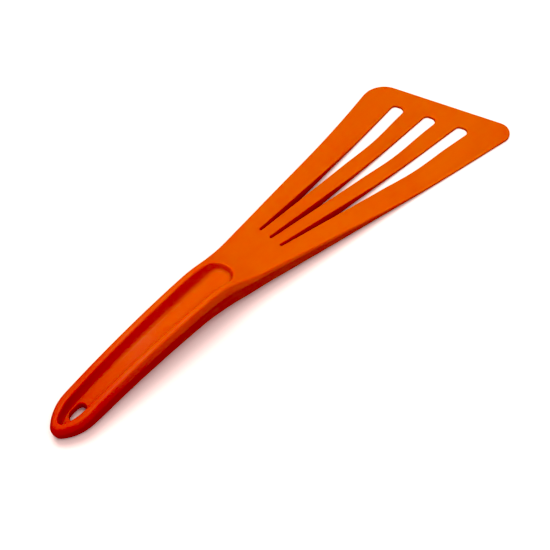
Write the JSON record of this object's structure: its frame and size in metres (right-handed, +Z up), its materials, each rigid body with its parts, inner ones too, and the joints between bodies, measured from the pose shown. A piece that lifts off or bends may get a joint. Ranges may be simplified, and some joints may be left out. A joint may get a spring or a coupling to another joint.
{
  "type": "slotted kitchen turner",
  "caption": "Moulded kitchen turner: arched handle with an open channel and an oblong hanging hole, thin flared blade with long fanned slots and a skewed leading edge.",
  "frame": {"origin": "bottom centre of the bounding box, on the surface the turner lies on", "axes": "+X along the turner from the handle end to the leading edge, +Y to the left of the handle, +Z up, out of the open side of the handle channel"},
  "size_m": [0.303, 0.0788, 0.0271],
  "materials": {
    "orange_nylon": "satin, fine-grained, injection moulded"
  },
  "bodies": {
    "root": {"moulded_turner": "orange_nylon"}
  },
  "joints": []
}
